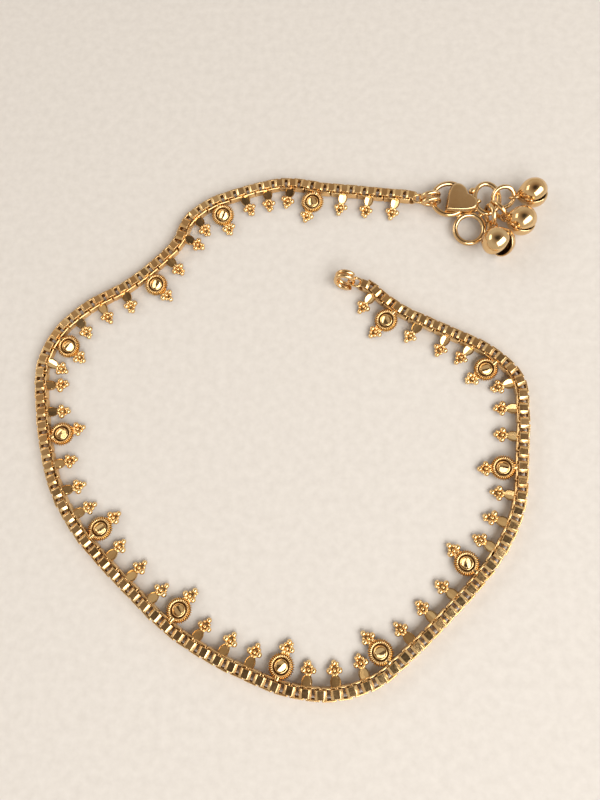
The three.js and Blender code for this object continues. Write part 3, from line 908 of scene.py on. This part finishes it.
# Each gold's dark colour is used for painted shade and for worn spots
GOLDS = {
    "chain_gold": gold("chain_gold", bright=(0.92, 0.65, 0.33), warm=(0.85, 0.54, 0.24),
                       dark=(0.12, 0.045, 0.012), polish=0.14, grain=0.2),
    "drop_gold": gold("drop_gold", bright=(0.94, 0.68, 0.34), warm=(0.88, 0.58, 0.26),
                      dark=(0.13, 0.05, 0.014), polish=0.12, grain=0.18),
    "clasp_gold": gold("clasp_gold", bright=(0.84, 0.60, 0.32), warm=(0.76, 0.50, 0.24),
                       dark=(0.10, 0.04, 0.012), polish=0.10, grain=0.12),
}


# Pieces in the scene

def put(name, data):
    """An object of its own in the scene."""
    thing = bpy.data.objects.new(name, data)
    bpy.context.scene.collection.objects.link(thing)
    return thing


def show(node, shape, slot, sharp=42):
    """Makes the shape a piece that stands for a CAD node. Edges over the sharp angle stay sharp."""
    mesh = bpy.data.meshes.new(node + "_look")
    points = (np.vstack(shape.points) - MIDDLE) * MM
    mesh.from_pydata(points.tolist(), [], shape.faces)
    mesh.update()
    mesh.attributes.new("tone", "FLOAT", "POINT").data.foreach_set("value", np.concatenate(shape.tones))
    mesh.shade_smooth()
    mesh.set_sharp_from_angle(angle=math.radians(sharp))
    mesh.materials.append(GOLDS[slot])
    piece = put(node + "_look", mesh)
    normals = piece.modifiers.new("normals", "WEIGHTED_NORMAL")
    normals.keep_sharp = True
    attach(piece, "root")
    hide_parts(node)


show("chain", chain_links(), "chain_gold", sharp=50)

single_leaf = Shape()
add_leaf(single_leaf, 0, FIRST_LEAF_LEAN)
show("leaf_drops_01", single_leaf, "drop_gold")
for row, (rosette_lean, *leaf_leans) in enumerate(LEANS):
    rosette_at = 1 + len(LEANS[row]) * row
    rosette = Shape()
    add_rosette(rosette, rosette_at, rosette_lean)
    show(f"rosette_drop_{row + 1:02d}", rosette, "drop_gold")
    leaves = Shape()
    for leaf_at, lean in enumerate(leaf_leans, rosette_at + 1):
        add_leaf(leaves, leaf_at, lean)
    show(f"leaf_drops_{row + 2:02d}", leaves, "drop_gold")

show("hook_ring", coil_shape(HOOK_RING), "clasp_gold")
show("chain_end_hook", end_link_shape(HOOK_LINK, HOOK_RING["centre"]), "chain_gold")
show("clasp_ring", coil_shape(CLASP_RING), "clasp_gold")
show("chain_end_clasp", end_link_shape(CLASP_LINK, CLASP_RING["centre"]), "chain_gold")
show("heart_clasp", heart_clasp_shape(), "clasp_gold", sharp=50)
for number, (bell, ring) in enumerate(zip(BELLS, BELL_RINGS), 1):
    show(f"bell_ring_{number}", bell_ring_shape(ring), "clasp_gold")
    show(f"bell_{number}", bell_shape(bell, ring), "clasp_gold", sharp=60)


# Floor, light and camera

def plane(name, half, height):
    corners = [(-half, -half, height), (half, -half, height), (half, half, height), (-half, half, height)]
    mesh = bpy.data.meshes.new(name)
    mesh.from_pydata(corners, [], [(0, 1, 2, 3)])
    return put(name, mesh)


floor = plane("floor", FLOOR_HALF, FLOOR_HEIGHT)
floor.data.materials.append(floor_material())


def softbox(name, direction, distance, size, power, colour):
    """A rectangular lamp that faces the middle of the anklet."""
    light = bpy.data.lights.new(name, "AREA")
    light.shape = "RECTANGLE"
    light.size, light.size_y = size
    light.energy = power
    light.color = colour
    lamp = put(name, light)
    lamp.location = Vector(direction).normalized() * distance
    lamp.rotation_euler = Vector(direction).to_track_quat("Z", "Y").to_euler()


softbox("key", direction=(0.50, -0.45, 0.74), distance=0.68, size=(1.0, 0.42), power=6.2,
        colour=(1.0, 0.98, 0.94))
softbox("fill", direction=(-0.80, 0.30, 0.52), distance=0.80, size=(0.50, 0.25), power=1.2,
        colour=(1.0, 0.95, 0.88))

world = bpy.data.worlds.new("studio")
bpy.context.scene.world = world
world.use_nodes = True
sky = Nodes(world.node_tree)
direction = sky.new("ShaderNodeTexCoord").outputs["Generated"]
rise = sky.new("ShaderNodeSeparateXYZ", {0: direction}).outputs["Z"]
colour = sky.mixed(sky.ranged(rise, HORIZON_RISE, UPPER_RISE), HORIZON, UPPER_SKY)
colour = sky.mixed(sky.ranged(rise, UPPER_RISE, ZENITH_RISE), colour, ZENITH)
background = sky.new("ShaderNodeBackground", {"Color": colour, "Strength": 1.0})
sky.new("ShaderNodeOutputWorld", {"Surface": background.outputs["Background"]})

camera_data = bpy.data.cameras.new("camera")
camera_data.lens = CAMERA_LENS
camera_data.sensor_width = SENSOR_WIDTH
camera_data.clip_start = CLIP_START
camera = put("camera", camera_data)
stand = Matrix(CAMERA_AXES).transposed().to_4x4()
stand.translation = (Vector(CAMERA_STAND) - Vector(MIDDLE)) * MM
camera.matrix_world = stand
bpy.context.scene.camera = camera
bpy.context.scene.view_settings.view_transform = "Standard"
